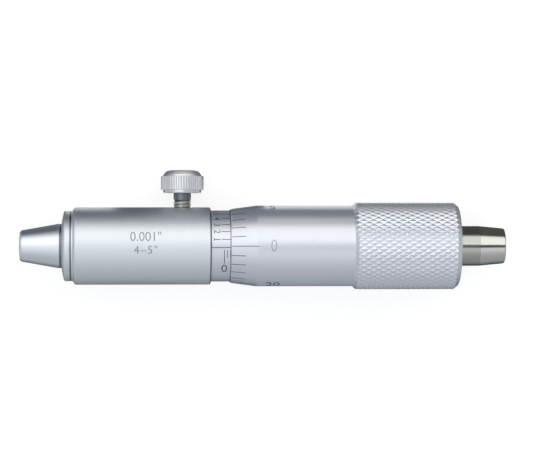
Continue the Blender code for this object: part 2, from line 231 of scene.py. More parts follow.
outline = [(anvil_face_x + x, r) for x, r in lapped_face(anvil_tip_radius)]
outline[-1] = (*outline[-1], face_rounding)
outline += [
    (anvil_face_x + cone_length, anvil_base_radius, cone_base_rounding),
    (anvil_face_x + cone_length, shank_radius),
    (anvil_back_x, shank_radius, edge_break),
    (anvil_back_x, shank_bore_radius, edge_break),
    (shank_bore_start_x + drill_point, shank_bore_radius),
    (shank_bore_start_x, face_crown_radius),
]
anvil = turned("measuring_anvil", outline)
finish_shading(anvil)
anvil.data.materials.append(satin_chrome)
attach(anvil, "body")
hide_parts("fixed_anvil")


# Collar. A turned steel cap with a short neck and a shallow domed front, screwed into the body up to a fine
# joint line. Neck and line carry painted shade: a dark metal stands in for the shadow in the recess and the
# joint. Its back is recessed for the anvil's ring nut.
collar_face_x, collar_back_x = (corner.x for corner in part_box("end_cap"))
neck_x = anvil_face_x + cone_length + 0.02 * mm
neck_radius = 4.62 * mm
collar_front_x = neck_x + 0.42 * mm
joint_width = 0.34 * mm
joint_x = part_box("body_tube")[0].x - 0.07 * mm
joint_radius = 7.36 * mm
collar_shoulder_x = joint_x - joint_width
collar_radius = 7.40 * mm
collar_seat_radius = 5.0 * mm
collar_dome_radius = 30.0 * mm
collar_bore_radius = 3.90 * mm
spigot_radius = 6.70 * mm
recess_radius = 6.0 * mm
recess_x = collar_back_x - 2.6 * mm
collar_rounding = 0.35 * mm
joint_edge = 0.04 * mm
dome_steps = 6


def two_finishes(piece, main, other, is_other):
    """Give a piece its main finish, and the other one to the faces whose centre passes the test."""
    piece.data.materials.append(main)
    piece.data.materials.append(other)
    for face in piece.data.polygons:
        face.material_index = int(is_other(face.center))


outline = [
    (neck_x, collar_bore_radius),
    (neck_x, neck_radius),
    (collar_front_x, neck_radius),
]
for i in range(dome_steps + 1):
    r = collar_seat_radius + (collar_radius - collar_seat_radius) * i / dome_steps
    outline.append((collar_front_x + (r ** 2 - collar_seat_radius ** 2) / (2 * collar_dome_radius), r))
outline[-1] = (*outline[-1], collar_rounding)
outline += [
    (collar_shoulder_x, collar_radius, joint_edge),
    (collar_shoulder_x, joint_radius),
    (joint_x, joint_radius),
    (joint_x, spigot_radius),
    (collar_back_x, spigot_radius, edge_break),
    (collar_back_x, recess_radius, edge_break),
    (recess_x, recess_radius),
    (recess_x, collar_bore_radius),
    (neck_x, collar_bore_radius),
]
collar = turned("domed_collar", outline)
finish_shading(collar)
ground_chrome = turned_metal("satin_chrome_on_ground_steel", "#D8DCDD", 0.50,
                             ring_spacing=0.3 * mm, ring_depth=0.0006 * mm,
                             grain=0.12 * mm, grain_depth=0.0008 * mm)
# Painted shade: a dark metal put in the joints and recesses, standing in for the shadow that falls there.
joint_shade = turned_metal("painted_shade_in_the_joints", "#7A7D88", 0.40,
                         ring_spacing=0.3 * mm, ring_depth=0.0003 * mm,
                         grain=0.12 * mm, grain_depth=0.0006 * mm)
two_finishes(collar, ground_chrome, joint_shade,
             lambda co: co.x < collar_front_x or collar_shoulder_x < co.x < joint_x)
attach(collar, "body")
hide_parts("end_cap")


# Body tube. Plain steel tube with a lip and a chamfer at its left end, rounded over at its right one,
# counterbored for the sleeve and cross-drilled for the lock screw. Its rounded right edge carries painted
# shade, a dark metal that stands in for the shadow where the tube meets the sleeve.
body_x = joint_x
body_end_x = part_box("body_tube")[1].x - 0.08 * mm
lock_x = sum(corner.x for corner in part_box("lock_stem")) / 2
lock_axis = Vector(next(joint["axis"] for joint in frame["joints"] if joint["name"] == "lock_travel"))
face_axis = Vector((1, 0, 0)).cross(lock_axis)
body_radius = 8.15 * mm
body_bore_radius = 6.80 * mm
counterbore_radius = 7.58 * mm
counterbore_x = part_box("graduated_sleeve")[0].x - 0.1 * mm
lip_radius = 7.42 * mm
lip_end_x = body_x + 0.27 * mm
left_chamfer = 0.42 * mm
chamfer_rounding = 0.3 * mm
end_curve_length = 0.42 * mm
end_curve_height = 0.47 * mm
end_curve_steps = 6
# Where the painted shade on the tube's rounded right end begins.
shaded_end_x = body_end_x - 0.8 * end_curve_length
lock_hole_radius = 1.91 * mm
lock_hole_chamfer = 0.2 * mm
drill_reach = 1 * mm


def stand_on_lock_axis(piece):
    """Turn a piece that was made along X to stand on the lock screw's axis."""
    lean = math.atan2(lock_axis.z, lock_axis.y)
    piece.matrix_world = (Matrix.Translation((lock_x, 0, 0)) @ Matrix.Rotation(lean, 4, "X")
                          @ Matrix.Rotation(math.pi / 2, 4, "Z"))
    bpy.ops.object.select_all(action="DESELECT")
    piece.select_set(True)
    bpy.context.view_layer.objects.active = piece
    bpy.ops.object.transform_apply()


def drill(piece, cutter):
    """Take the cutter out of the piece."""
    bpy.ops.object.select_all(action="DESELECT")
    piece.select_set(True)
    bpy.context.view_layer.objects.active = piece
    bpy.ops.object.modifier_add(type="BOOLEAN")
    piece.modifiers[-1].object = cutter
    bpy.ops.object.modifier_apply(modifier=piece.modifiers[-1].name)
    bpy.data.objects.remove(cutter)


outline = [
    (body_x, body_bore_radius, edge_break),
    (body_x, lip_radius, joint_edge),
    (lip_end_x, lip_radius),
    (lip_end_x + left_chamfer, body_radius, chamfer_rounding),
]
for i in range(end_curve_steps + 1):
    turn = math.pi / 2 * i / end_curve_steps
    outline.append((body_end_x - end_curve_length * (1 - math.sin(turn)),
                    body_radius - end_curve_height * (1 - math.cos(turn))))
outline += [
    (body_end_x, counterbore_radius),
    (counterbore_x, counterbore_radius),
    (counterbore_x, body_bore_radius),
    (body_x, body_bore_radius),
]
body = turned("outer_tube", outline)
drill_bit = turned("drill_bit", [
    (body_bore_radius - drill_reach, lock_hole_radius),
    (body_radius - lock_hole_chamfer, lock_hole_radius),
    (body_radius + drill_reach, lock_hole_radius + drill_reach + lock_hole_chamfer),
], sides=64)
stand_on_lock_axis(drill_bit)
drill(body, drill_bit)
finish_shading(body)
two_finishes(body, ground_chrome, joint_shade, lambda co: co.x > shaded_end_x)
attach(body, "body")
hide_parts("body_tube")


# Range marking. The graduation and the range in inches, etched grey into the body's plating, and bare of
# any other word. Each is drawn flat and laid round the tube. The two lines of it are given by their text,
# their place across the tube, height, width and letter spacing.
marking_x = 26.5 * mm
marking_lines = [("0.001\"", 1.93 * mm, 2.80 * mm, 0.92, 1.0),
                 ("4\u20135\"", -0.86 * mm, 2.35 * mm, 1.0, 1.18)]
ink_depth = 0.02 * mm
ink_strip = 0.3 * mm
ink_grain = 0.25 * mm


def write(text, x, y, height, width, turn=0, weight=0.0, spacing=1.0):
    """Write a text flat, centred on (x, y), with capitals of about 0.7 times the height."""
    bpy.ops.object.text_add(location=(x, y, 0), rotation=(0, 0, turn))
    words = bpy.context.object
    words.data.body = text
    words.data.size = height
    words.data.align_x = "CENTER"
    words.data.align_y = "CENTER"
    words.data.extrude = ink_depth / 2
    words.data.offset = weight * height
    words.data.space_character = spacing
    words.scale.x = width
    bpy.ops.object.convert(target="MESH")
    bpy.ops.object.transform_apply()
    return bpy.context.object


def stroke(x, y, length, height):
    """Draw a straight line flat, centred on (x, y)."""
    bpy.ops.mesh.primitive_cube_add(size=1, location=(x, y, 0))
    line = bpy.context.object
    line.scale = (length, height, ink_depth)
    bpy.ops.object.transform_apply()
    return line


def laid_round(name, drawings, flat_radius, radius_at, turn, ink, bends=()):
    """Join flat drawings and lay them round the X axis.

    Their Y is arc length at the flat radius, from the side that the scales look to. They are cut where the
    surface bends along X.
    """
    bpy.ops.object.select_all(action="DESELECT")
    for drawing in drawings:
        drawing.select_set(True)
    bpy.context.view_layer.objects.active = drawings[0]
    bpy.ops.object.join()
    piece = bpy.context.object
    piece.name = piece.data.name = name
    heights = [vertex.co.y for vertex in piece.data.vertices]
    bpy.ops.object.mode_set(mode="EDIT")
    first_cut = math.ceil(min(heights) / ink_strip)
    last_cut = math.floor(max(heights) / ink_strip)
    cuts = [((0, i * ink_strip, 0), (0, 1, 0)) for i in range(first_cut, last_cut + 1)]
    cuts += [((x, 0, 0), (1, 0, 0)) for x in bends]
    for place, across in cuts:
        bpy.ops.mesh.select_all(action="SELECT")
        bpy.ops.mesh.bisect(plane_co=place, plane_no=across)
    bpy.ops.mesh.select_all(action="SELECT")
    bpy.ops.mesh.remove_doubles(threshold=same_place)
    bpy.ops.object.mode_set(mode="OBJECT")
    for vertex in piece.data.vertices:
        angle = turn + vertex.co.y / flat_radius
        out = face_axis * math.cos(angle) + lock_axis * math.sin(angle)
        vertex.co = Vector((vertex.co.x, 0, 0)) + out * (radius_at(vertex.co.x) + vertex.co.z)
    piece.data.materials.append(ink)
    bpy.ops.object.select_all(action="DESELECT")
    return piece


def filled_line(name, tint, roughness, metallic=0):
    """Paint or etching in a graduation, slightly uneven where the plating's grain comes through.

    The thinner it is, the more of the metal's gleam it lets through.
    """
    material = bpy.data.materials.new(name)
    material.use_nodes = True
    tree = material.node_tree
    shader = tree.nodes["Principled BSDF"]
    shader.inputs["Roughness"].default_value = roughness
    shader.inputs["Metallic"].default_value = metallic
    place = node(tree, "TexCoord").outputs["Object"]
    speckle = node(tree, "TexNoise", {"Vector": place, "Scale": 1 / ink_grain, "Detail": 2}).outputs["Fac"]
    light = colour(tint)
    dark = (*[part * 0.7 for part in light[:3]], 1)
    shade = node(tree, "Mix", {"Factor": speckle, "A": light, "B": dark}, data_type="RGBA")
    tree.links.new(shade.outputs["Result"], shader.inputs["Base Color"])
    return material


etched_grey = filled_line("etched_grey", "#9A9EA2", 0.5, metallic=0.7)
marking = laid_round("range_marking",
                     [write(text, marking_x, y, height, width, spacing=spacing)
                      for text, y, height, width, spacing in marking_lines],
                     body_radius, lambda x: body_radius, 0, etched_grey)
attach(marking, "body")


# Graduated sleeve. A thin steel tube that stays put while the thimble travels over it, plated in a finer,
# slightly violet matt chrome so that the lines read well. A hook spanner fits the hole at its back.
sleeve_x, sleeve_end_x = (corner.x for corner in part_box("graduated_sleeve"))
sleeve_radius = 7.50 * mm
sleeve_bore_radius = 6.78 * mm
spanner_hole_radius = 0.6 * mm
spanner_hole_depth = 2 * mm
spanner_hole_x = body_end_x + 1.35 * mm

outline = [
    (sleeve_x, sleeve_bore_radius),
    (sleeve_x, sleeve_radius, edge_break),
    (sleeve_end_x, sleeve_radius, edge_break),
    (sleeve_end_x, sleeve_bore_radius),
    (sleeve_x, sleeve_bore_radius),
]
sleeve = turned("scale_sleeve", outline)
bpy.ops.mesh.primitive_cylinder_add(vertices=32, radius=spanner_hole_radius, depth=spanner_hole_depth,
                                    location=face_axis * -sleeve_radius + Vector((spanner_hole_x, 0, 0)),
                                    rotation=face_axis.to_track_quat("Z", "X").to_euler())
drill(sleeve, bpy.context.object)
finish_shading(sleeve)
scale_chrome = turned_metal("matt_chrome_on_scales", "#D2D3D8", 0.34,
                            ring_spacing=0.3 * mm, ring_depth=0.0003 * mm,
                            grain=0.10 * mm, grain_depth=0.0010 * mm, metallic=0.72)
sleeve.data.materials.append(scale_chrome)
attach(sleeve, "sleeve")
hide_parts("graduated_sleeve")


# Sleeve scales. Engraved lines filled with black enamel: the index line along the tube, forty divisions of
# 0.025 in. under it, numbered at each tenth of an inch, and ten vernier lines above it. The enamel is worn
# thin, and the plating gleams through it. The vernier's 1 stands on a short foot.
inch = 0.0254
thimble_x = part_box("thimble")[0].x
reading = 0.05 * inch
zero_x = thimble_x - reading
scale_end_x = zero_x + 1.0 * inch + 1.1 * mm
line_width = 0.16 * mm
index_turn = math.radians(-2.3)
division = 0.025 * inch
divisions = 40
divisions_a_number = 4
index_end_gap = 0.1 * mm
tick_gap = 0.49 * mm
short_tick = 1.62 * mm
long_tick = 3.0 * mm
number_height = 2.75 * mm
number_width = 0.98
ten_width = 0.7
number_drop = 4.86 * mm
vernier_lines = 10
vernier_start_x = 42.3 * mm
vernier_step = math.radians(12.96)
vernier_number_x = 41.3 * mm
vernier_number_height = 1.9 * mm
foot_x = vernier_number_x - 0.58 * mm
foot_width = 0.14 * mm
foot_length = 0.62 * mm

drawings = [stroke((body_end_x + scale_end_x) / 2, 0, scale_end_x - body_end_x - index_end_gap, line_width)]
for i in range(divisions + 1):
    tick = short_tick if i % divisions_a_number else long_tick
    drawings.append(stroke(zero_x + i * division, -tick_gap - tick / 2, line_width, tick))
    if i % divisions_a_number == 0:
        drawings.append(write(str(i // divisions_a_number), zero_x + i * division, -number_drop,
                              number_height, number_width if i < divisions else ten_width))
for i in range(1, vernier_lines + 1):
    y = i * vernier_step * sleeve_radius
    drawings.append(stroke((vernier_start_x + scale_end_x) / 2, y, scale_end_x - vernier_start_x, line_width))
    drawings.append(write(str(i % 10), vernier_number_x, y, vernier_number_height, 1.0, turn=-math.pi / 2))
drawings.append(stroke(foot_x, vernier_step * sleeve_radius, foot_width, foot_length))
black_fill = filled_line("thin_black_fill", "#70707D", 0.38, metallic=0.9)
sleeve_scales = laid_round("sleeve_scales", drawings, sleeve_radius, lambda x: sleeve_radius, index_turn,
                           black_fill)
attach(sleeve_scales, "sleeve")


# Thimble. One turned piece: a bevelled cone for the graduations, a plain barrel, and a grip rolled with a
# diamond knurl, 46 diamonds round and ten along, whose points are rounded over. Matt chrome, as the sleeve.
edge_x = thimble_x + 0.18 * mm
thimble_end_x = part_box("thimble")[1].x
edge_bore_radius = 7.58 * mm
edge_radius = 7.70 * mm
# The ring of painted shade at the thimble's edge:
edge_shade_bore_radius = 7.525 * mm
edge_shade_start_radius = 7.56 * mm
edge_shade_end_radius = 7.65 * mm
bevel_radius = 7.83 * mm
bevel_length = 0.35 * mm
scale_cone_length = 5.17 * mm
barrel_radius = 8.53 * mm
barrel_length = 20.38 * mm
grip_chamfer = 0.74 * mm
knurl_length = 20.66 * mm
knurl_radius = 9.26 * mm
knurl_root_radius = 9.00 * mm
knurl_count = 46
knurl_rows = 20
point_rounding = 45
point_steps = 3
top_band = 0.01 * mm
end_face_radius = 8.46 * mm
end_rounding = 0.12 * mm
end_bore_radius = 3.55 * mm
end_wall_x = thimble_end_x - 3.1 * mm
end_bore_back_radius = 4.0 * mm

cone_end_x = edge_x + bevel_length + scale_cone_length
grip_x = cone_end_x + barrel_length
knurl_x = grip_x + grip_chamfer
row_length = knurl_length / knurl_rows
outline = [
    (edge_x, edge_bore_radius),
    (edge_x, edge_radius),
    (edge_x + bevel_length, bevel_radius),
    (cone_end_x, barrel_radius),
    (grip_x, barrel_radius),
]
outline += [(knurl_x + i * row_length, knurl_root_radius) for i in range(knurl_rows + 1)]
outline += [
    (thimble_end_x, end_face_radius, end_rounding),
    (thimble_end_x, end_bore_radius, edge_break),
    (end_wall_x, end_bore_back_radius),
    (end_wall_x, edge_bore_radius),
    (edge_x, edge_bore_radius),
]
thimble = turned("knurled_thimble", outline, sides=2 * knurl_count)


def is_diamond_point(co):
    """Whether a vertex of the grip is the point of a diamond: every second one, staggered row by row."""
    row = round((co.x - knurl_x) / row_length)
    column = round(math.atan2(co.y, co.z) * knurl_count / math.pi)
    on_grip = abs(math.hypot(co.y, co.z) - knurl_root_radius) < same_place
    return on_grip and (row + column) % 2 == 1


bpy.context.view_layer.objects.active = thimble
bpy.ops.object.mode_set(mode="EDIT")
bpy.ops.mesh.select_mode(type="VERT")
select_where(thimble, is_diamond_point)
lift = knurl_radius / knurl_root_radius
bpy.ops.transform.resize(value=(1, lift, lift), center_override=(0, 0, 0))
bpy.ops.mesh.select_more()
bpy.ops.mesh.quads_convert_to_tris(quad_method="SHORTEST_DIAGONAL")
select_where(thimble, lambda co: math.hypot(co.y, co.z) > knurl_radius - top_band)
bpy.ops.mesh.bevel(offset_type="PERCENT", offset_pct=point_rounding, segments=point_steps, affect="VERTICES")
bpy.ops.object.mode_set(mode="OBJECT")
finish_shading(thimble)
knurl_chrome = turned_metal("matt_chrome_on_the_grip", "#D8D9DE", 0.34,
                            ring_spacing=0.3 * mm, ring_depth=0.0003 * mm,
                            grain=0.10 * mm, grain_depth=0.0010 * mm, metallic=0.72)
two_finishes(thimble, scale_chrome, knurl_chrome, lambda co: co.x > grip_x)
# A thin ring of painted shade in the dark metal, standing in for the shadow in the gap between thimble and
# sleeve.
edge_shade = turned("painted_shade_at_the_thimble_edge", [
    (thimble_x, edge_shade_bore_radius),
    (thimble_x, edge_shade_start_radius),
    (edge_x, edge_shade_end_radius),
    (edge_x, edge_shade_bore_radius),
    (thimble_x, edge_shade_bore_radius),
])
finish_shading(edge_shade)
edge_shade.data.materials.append(joint_shade)
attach(edge_shade, "thimble")
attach(thimble, "thimble")
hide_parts("thimble")


# Thimble scale. Twenty-five engraved divisions round the cone, every fifth one long and numbered on the
# barrel, filled with the same thin black. The fill of the 0 is worn. The place beside it stays bare.
thimble_divisions = 25
divisions_a_long_line = 5
thimble_turn = math.radians(-0.1)
line_start_x = edge_x + 0.1 * mm
short_line_end_x = 47.3 * mm
long_line_end_x = 50.0 * mm
thimble_number_x = 53.15 * mm
thimble_number_height = 3.6 * mm
thimble_number_width = 0.88
worn_zero_width = 0.80
worn_zero_weight = -0.01


def thimble_radius_at(x):
    """Radius of the thimble's bevel, cone and barrel."""
    bevel = edge_radius + (bevel_radius - edge_radius) * (x - edge_x) / bevel_length
    cone = bevel_radius + (barrel_radius - bevel_radius) * (x - edge_x - bevel_length) / scale_cone_length
    return min(bevel, cone, barrel_radius)


drawings = []
for i in range(thimble_divisions):
    end_x = short_line_end_x if i % divisions_a_long_line else long_line_end_x
    steps = i if i <= thimble_divisions // 2 else i - thimble_divisions
    y = 2 * math.pi * steps / thimble_divisions * barrel_radius
    drawings.append(stroke((line_start_x + end_x) / 2, y, end_x - line_start_x, line_width))
    if i % divisions_a_long_line == 0 and i:
        drawings.append(write(str(i), thimble_number_x, y, thimble_number_height, thimble_number_width))
thimble_scale = laid_round("thimble_scale", drawings, barrel_radius, thimble_radius_at, thimble_turn,
                           black_fill, bends=(edge_x + bevel_length, cone_end_x))
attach(thimble_scale, "thimble")
worn_fill = filled_line("worn_black_fill", "#B4B4BC", 0.38, metallic=0.9)
zero = write("0", thimble_number_x, 0, thimble_number_height, worn_zero_width, weight=worn_zero_weight)
worn_zero = laid_round("worn_zero", [zero], barrel_radius, thimble_radius_at, thimble_turn, worn_fill)
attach(worn_zero, "thimble")


# Measuring contact. The spindle's hardened end, ground round and lapped on its domed face, screwed into the
# spindle by its stud. It is left unplated, so it is darker and shines harder than the rest.
contact_x = thimble_end_x + 0.1 * mm
contact_end_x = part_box("spindle_contact")[1].x
stud_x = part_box("spindle_contact")[0].x
stud_radius = 1.5 * mm
contact_radius = 4.235 * mm
contact_tip_radius = 3.74 * mm
contact_cylinder = 4.4 * mm
contact_edge = 0.1 * mm
contact_face_rounding = 0.25 * mm

outline = [
    (stud_x, stud_radius, edge_break),
    (contact_x, stud_radius),
    (contact_x, contact_radius, contact_edge),
    (contact_x + contact_cylinder, contact_radius),
]
face = [(contact_end_x - x, r) for x, r in lapped_face(contact_tip_radius)]
face[-1] = (*face[-1], contact_face_rounding)
outline += reversed(face)
contact = turned("measuring_contact", outline)
finish_shading(contact)
ground_steel = turned_metal("ground_and_lapped_steel", "#ABAAA2", 0.17,
                            ring_spacing=0.2 * mm, ring_depth=0.0001 * mm,
                            grain=0.10 * mm, grain_depth=0.0001 * mm, spread=0.03)
lapped_steel = turned_metal("finely_lapped_steel", "#C2C1B9", 0.17,
                            ring_spacing=0.2 * mm, ring_depth=0.0001 * mm,
                            grain=0.10 * mm, grain_depth=0.0001 * mm, spread=0.03)
two_finishes(contact, ground_steel, lapped_steel, lambda co: co.x > contact_x + contact_cylinder)
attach(contact, "contact")
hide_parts("spindle_contact")


# Lock screw stem. Dark, oiled steel, plain under the knob and threaded M4 below it. The thread is given a
# lighter steel than the core, and its ridge runs out into the plain part. The narrow groove under the plain
# part carries painted shade.
stem_radius = 1.83 * mm
thread_radius = 1.82 * mm
thread_root_radius = 1.70 * mm
thread_pitch = 0.7 * mm
thread_start = 4.93 * mm
thread_turns = 6
thread_sink = 0.02 * mm
thread_outline = ((0.08, 0), (0.20, -1), (0.44, 0), (0.20, 1), (0.08, 0))
thread_merging = 0.005 * mm
groove_radius = 1.62 * mm
groove_height = 9.44 * mm
plain_height = 9.64 * mm
stem_start = 4.38 * mm
stem_top = 13.95 * mm


def threaded(name, start, turns, crest_radius, root_radius, pitch, sides=48):
    """A screw thread on the X axis: one pitch of its outline, swept round and along. It ends at -Z.

    The outline's steps are shares of the pitch along X and of the thread's depth.
    """
    bpy.ops.mesh.primitive_plane_add(size=pitch, location=(start, 0, -root_radius))
    piece = bpy.context.object
    piece.name = piece.data.name = name
    bpy.ops.object.transform_apply()
    bpy.ops.object.mode_set(mode="EDIT")
    bpy.ops.mesh.select_all(action="SELECT")
    bpy.ops.mesh.merge(type="CENTER")
    depth = crest_radius - root_radius
    for run, rise in thread_outline:
        bpy.ops.mesh.extrude_region_move(TRANSFORM_OT_translate={"value": (run * pitch, 0, rise * depth)})
    bpy.ops.object.mode_set(mode="OBJECT")
    bpy.ops.object.modifier_add(type="SCREW")
    sweep = piece.modifiers[-1]
    sweep.axis = "X"
    sweep.screw_offset = pitch
    sweep.iterations = turns
    sweep.steps = sweep.render_steps = sides
    sweep.use_merge_vertices = True
    sweep.merge_threshold = thread_merging
    bpy.ops.object.modifier_apply(modifier=sweep.name)
    bpy.ops.object.mode_set(mode="EDIT")
    bpy.ops.mesh.select_all(action="SELECT")
    bpy.ops.mesh.remove_doubles(threshold=thread_merging)
    bpy.ops.mesh.normals_make_consistent(inside=False)
    bpy.ops.object.mode_set(mode="OBJECT")
    return piece


core = turned("stem_core", [
    (stem_start, thread_root_radius),
    (groove_height, thread_root_radius),
    (groove_height, groove_radius),
    (plain_height, groove_radius),
    (plain_height, stem_radius, edge_break),
    (stem_top, stem_radius),
], sides=96)
thread = threaded("stem_thread", thread_start, thread_turns, thread_radius,
                  thread_root_radius - thread_sink, thread_pitch)
# The whole thread is a lighter steel than the core between its turns.
thread_steel = turned_metal("lighter_steel_on_the_thread", "#ACADA2", 0.36,
                           ring_spacing=0.2 * mm, ring_depth=0.0004 * mm,
                           grain=0.15 * mm, grain_depth=0.0006 * mm)
dark_steel = turned_metal("oiled_dark_steel", "#727C80", 0.36,
                          ring_spacing=0.2 * mm, ring_depth=0.0004 * mm,
                          grain=0.15 * mm, grain_depth=0.0004 * mm)
# Painted shade: a near-black fill in the narrow groove under the plain part, where shadow falls.
groove_shade = filled_line("painted_shade_in_the_groove", "#2A2C30", 0.5)
two_finishes(core, dark_steel, groove_shade, lambda co: groove_height < co.x < plain_height)
thread.data.materials.append(thread_steel)
bpy.ops.object.select_all(action="DESELECT")
thread.select_set(True)
core.select_set(True)
bpy.context.view_layer.objects.active = core
bpy.ops.object.join()
stem = bpy.context.object
stem.name = stem.data.name = "threaded_stem"
stand_on_lock_axis(stem)
finish_shading(stem)
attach(stem, "lock_screw")
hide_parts("lock_stem")


# Lock knob. A turned button pressed on the stem, straight-knurled with fifty ridges and bright-plated.
# Its crown is left as it was turned, duller than the ridges.
knob_height = 11.15 * mm
knob_radius = 4.475 * mm
knob_band_height = 11.88 * mm
knob_rim_height = 14.68 * mm
knob_neck_radius = 4.0 * mm
knob_shoulder_height = 14.95 * mm
knob_bevel_height = 15.72 * mm
knob_bevel_radius = 3.42 * mm
knob_top_height = 15.93 * mm
knob_crown_flat = 2.6 * mm
knob_bore_radius = 1.93 * mm
knob_bore_height = 14.05 * mm
band_step = 0.05 * mm
band_chamfer = 0.1 * mm
neck_rounding = 0.15 * mm
shoulder_rounding = 0.1 * mm
bevel_rounding = 0.3 * mm
crown_rounding = 0.2 * mm
ridges = 50
ridge_depth = 0.17 * mm
flank_depth = ridge_depth * 0.15
columns_a_ridge = 6

outline = [(knob_bore_height, face_crown_radius), (knob_bore_height, knob_bore_radius)]
outline += [
    (knob_height, knob_bore_radius, edge_break),
    (knob_height, knob_neck_radius, neck_rounding),
    (knob_band_height - band_step, knob_neck_radius),
    (knob_band_height - band_step, knob_radius - band_chamfer),
    (knob_band_height, knob_radius),
    (knob_rim_height, knob_radius),
    (knob_rim_height + band_step, knob_radius - band_chamfer),
    (knob_rim_height + band_step, knob_neck_radius),
    (knob_shoulder_height, knob_neck_radius, shoulder_rounding),
    (knob_bevel_height, knob_bevel_radius, bevel_rounding),
    (knob_top_height, knob_crown_flat, crown_rounding),
]
knob = turned("knurled_knob", outline, sides=columns_a_ridge * ridges)
columns = {2: flank_depth, 3: ridge_depth, 4: flank_depth}
bpy.context.view_layer.objects.active = knob
bpy.ops.object.mode_set(mode="EDIT")
for column, depth in columns.items():
    select_where(knob, lambda co: math.hypot(co.y, co.z) > knob_radius - top_band
                 and round(math.atan2(co.y, co.z) * columns_a_ridge / 2 * ridges / math.pi)
                 % columns_a_ridge == column)
    shrink = 1 - depth / knob_radius
    bpy.ops.transform.resize(value=(1, shrink, shrink), center_override=(0, 0, 0))
bpy.ops.object.mode_set(mode="OBJECT")
stand_on_lock_axis(knob)
finish_shading(knob)
bright_chrome = turned_metal("bright_nickel_plate", "#DEDFE0", 0.34,
                             ring_spacing=0.2 * mm, ring_depth=0.0002 * mm,
                             grain=0.15 * mm, grain_depth=0.0003 * mm)
dull_crown = turned_metal("turned_nickel_on_the_crown", "#E4E4E2", 0.55,
                          ring_spacing=0.2 * mm, ring_depth=0.0002 * mm,
                          grain=0.15 * mm, grain_depth=0.0003 * mm)
two_finishes(knob, bright_chrome, dull_crown, lambda co: co.dot(lock_axis) > knob_shoulder_height)
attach(knob, "lock_screw")
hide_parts("lock_knob")


# Hidden pieces. Barrel, ring nuts and spindle are plain turned steel, the bush is bronze and the clamp pad
# brass. They keep the construction's own shapes.
turned_steel = turned_metal("turned_steel", "#B8B8B8", 0.32, ring_spacing=0.3 * mm, ring_depth=0.002 * mm,
                            grain=0.15 * mm, grain_depth=0.0005 * mm)
reamed_bronze = turned_metal("reamed_bronze", "#C9A878", 0.35, ring_spacing=0.3 * mm, ring_depth=0.001 * mm,
                             grain=0.15 * mm, grain_depth=0.0005 * mm)
turned_brass = turned_metal("turned_brass", "#DDC78C", 0.30, ring_spacing=0.3 * mm, ring_depth=0.001 * mm,
                            grain=0.15 * mm, grain_depth=0.0005 * mm)
inner_finishes = {
    "anvil_nut": turned_steel,
    "inner_barrel": turned_steel,
    "adjusting_nut": turned_steel,
    "spindle": ground_steel,
    "guide_bush": reamed_bronze,
    "clamp_pad": turned_brass,
}
for name, material in inner_finishes.items():
    mesh = frame["nodes"][name].data
    mesh.materials.clear()
    mesh.materials.append(material)


# Camera. Square to the scales, with the lock screw straight up in the picture, from half a metre and a
# little to the left of the middle.
view_distance = 507 * mm
view_target = Vector((52.80 * mm, 0, 0)) + lock_axis * 2.31 * mm
view_yaw = math.radians(3.7)
film_width = 36
focal_length = 160

camera = bpy.data.objects.new("camera", bpy.data.cameras.new("camera"))
bpy.context.collection.objects.link(camera)
camera.data.sensor_width = film_width
camera.data.lens = focal_length
back = face_axis * math.cos(view_yaw) - Vector((1, 0, 0)) * math.sin(view_yaw)
right = lock_axis.cross(back)
camera.matrix_world = Matrix.Translation(view_target + back * view_distance) @ Matrix(
    (right, lock_axis, back)).transposed().to_4x4()
camera.data.clip_start = 0.05
camera.data.clip_end = 20
bpy.context.scene.camera = camera


# Table, studio walls and light. A white table whose soft shadow stays, a grey room that darkens away from
# the lamp and has a dark gap where the camera stands, and one long soft box beyond the micrometer, which
# draws the bright band along it. The cards on the table are seen in the plating alone.
table_z = cad_box[0].z
table_size = 6
table_brightness = 0.78
bpy.ops.mesh.primitive_plane_add(size=table_size, location=(0, 0, table_z))
table = bpy.context.object
table.name = "table"
paper = bpy.data.materials.new("white_paper")
paper.use_nodes = True
tree = paper.node_tree
shader = tree.nodes["Principled BSDF"]
shader.inputs["Base Color"].default_value = (0.3, 0.3, 0.3, 1)
shader.inputs["Roughness"].default_value = 0.9
shader.inputs["Specular IOR Level"].default_value = 0
rays = node(tree, "LightPath")
seen = node(tree, "Math", {0: rays.outputs["Is Camera Ray"], 1: rays.outputs["Is Glossy Ray"]},
            operation="MAXIMUM")
seen = node(tree, "Math", {0: seen.outputs[0], 1: rays.outputs["Is Transmission Ray"]}, operation="MAXIMUM")
lift_white = node(tree, "Math", {0: seen.outputs[0], 1: table_brightness}, operation="MULTIPLY")
shader.inputs["Emission Color"].default_value = (1, 1, 1, 1)
tree.links.new(lift_white.outputs[0], shader.inputs["Emission Strength"])
table.data.materials.append(paper)

# The room's levels by the angle in degrees from the camera's side towards the lock screw
wall_levels = {-150: 0.32, -110: 0.46, -90: 0.54, -60: 0.62, -40: 0.80, -26: 1.02, -9: 1.15, 8: 1.1,
               14: 0.45, 62: 0.4, 110: 0.32}
wall_tint = (0.955, 0.995, 1.07)
gap_level = (0.05, 0.05, 0.05, 1)
gap_middle = math.radians(-2)
gap_reach = (math.radians(8), math.radians(10))
gap_side_reach = (0.07, 0.12)
lamp_top_reach = (math.radians(52), math.radians(56))
end_level = (0.5, 0.52, 0.55, 1)
end_reach = (0.35, 0.85)

